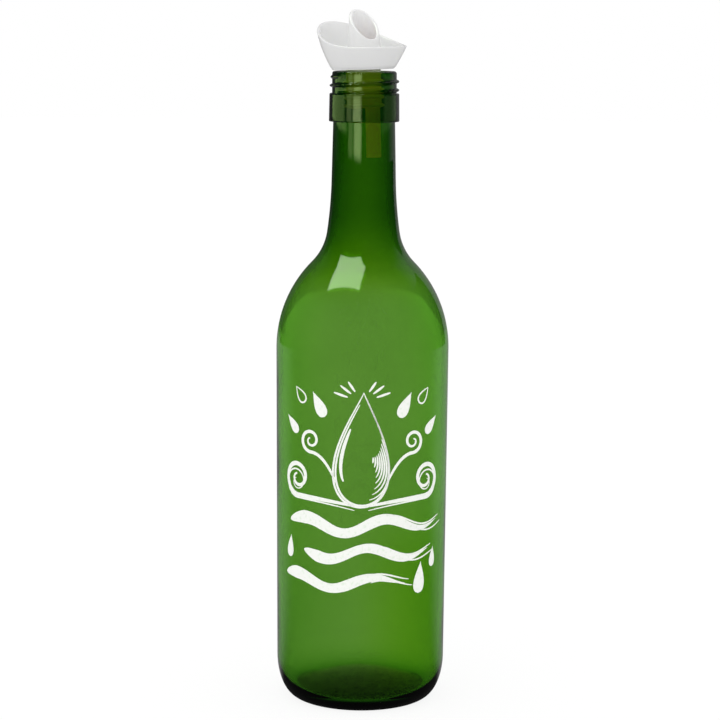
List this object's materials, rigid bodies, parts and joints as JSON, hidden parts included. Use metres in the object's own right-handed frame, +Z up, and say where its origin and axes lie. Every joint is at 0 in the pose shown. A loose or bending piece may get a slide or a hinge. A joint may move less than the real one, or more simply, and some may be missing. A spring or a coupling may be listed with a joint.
{
  "type": "oil bottle",
  "caption": "Green glass oil bottle with rounded shoulders, a screw neck with a collar, and a white pouring spout pressed into its mouth.",
  "frame": {"origin": "centre of the base, level with the surface that the bottle stands on", "axes": "+Z up along the bottle; the printed front faces -Y; +X to the right as seen from the front"},
  "size_m": [0.076, 0.076, 0.3048],
  "materials": {
    "glass": "clear green bottle glass, gloss",
    "plastic": "white moulded plastic, gloss"
  },
  "bodies": {
    "root": {"bottle": "glass", "pourer": "plastic"}
  },
  "joints": []
}
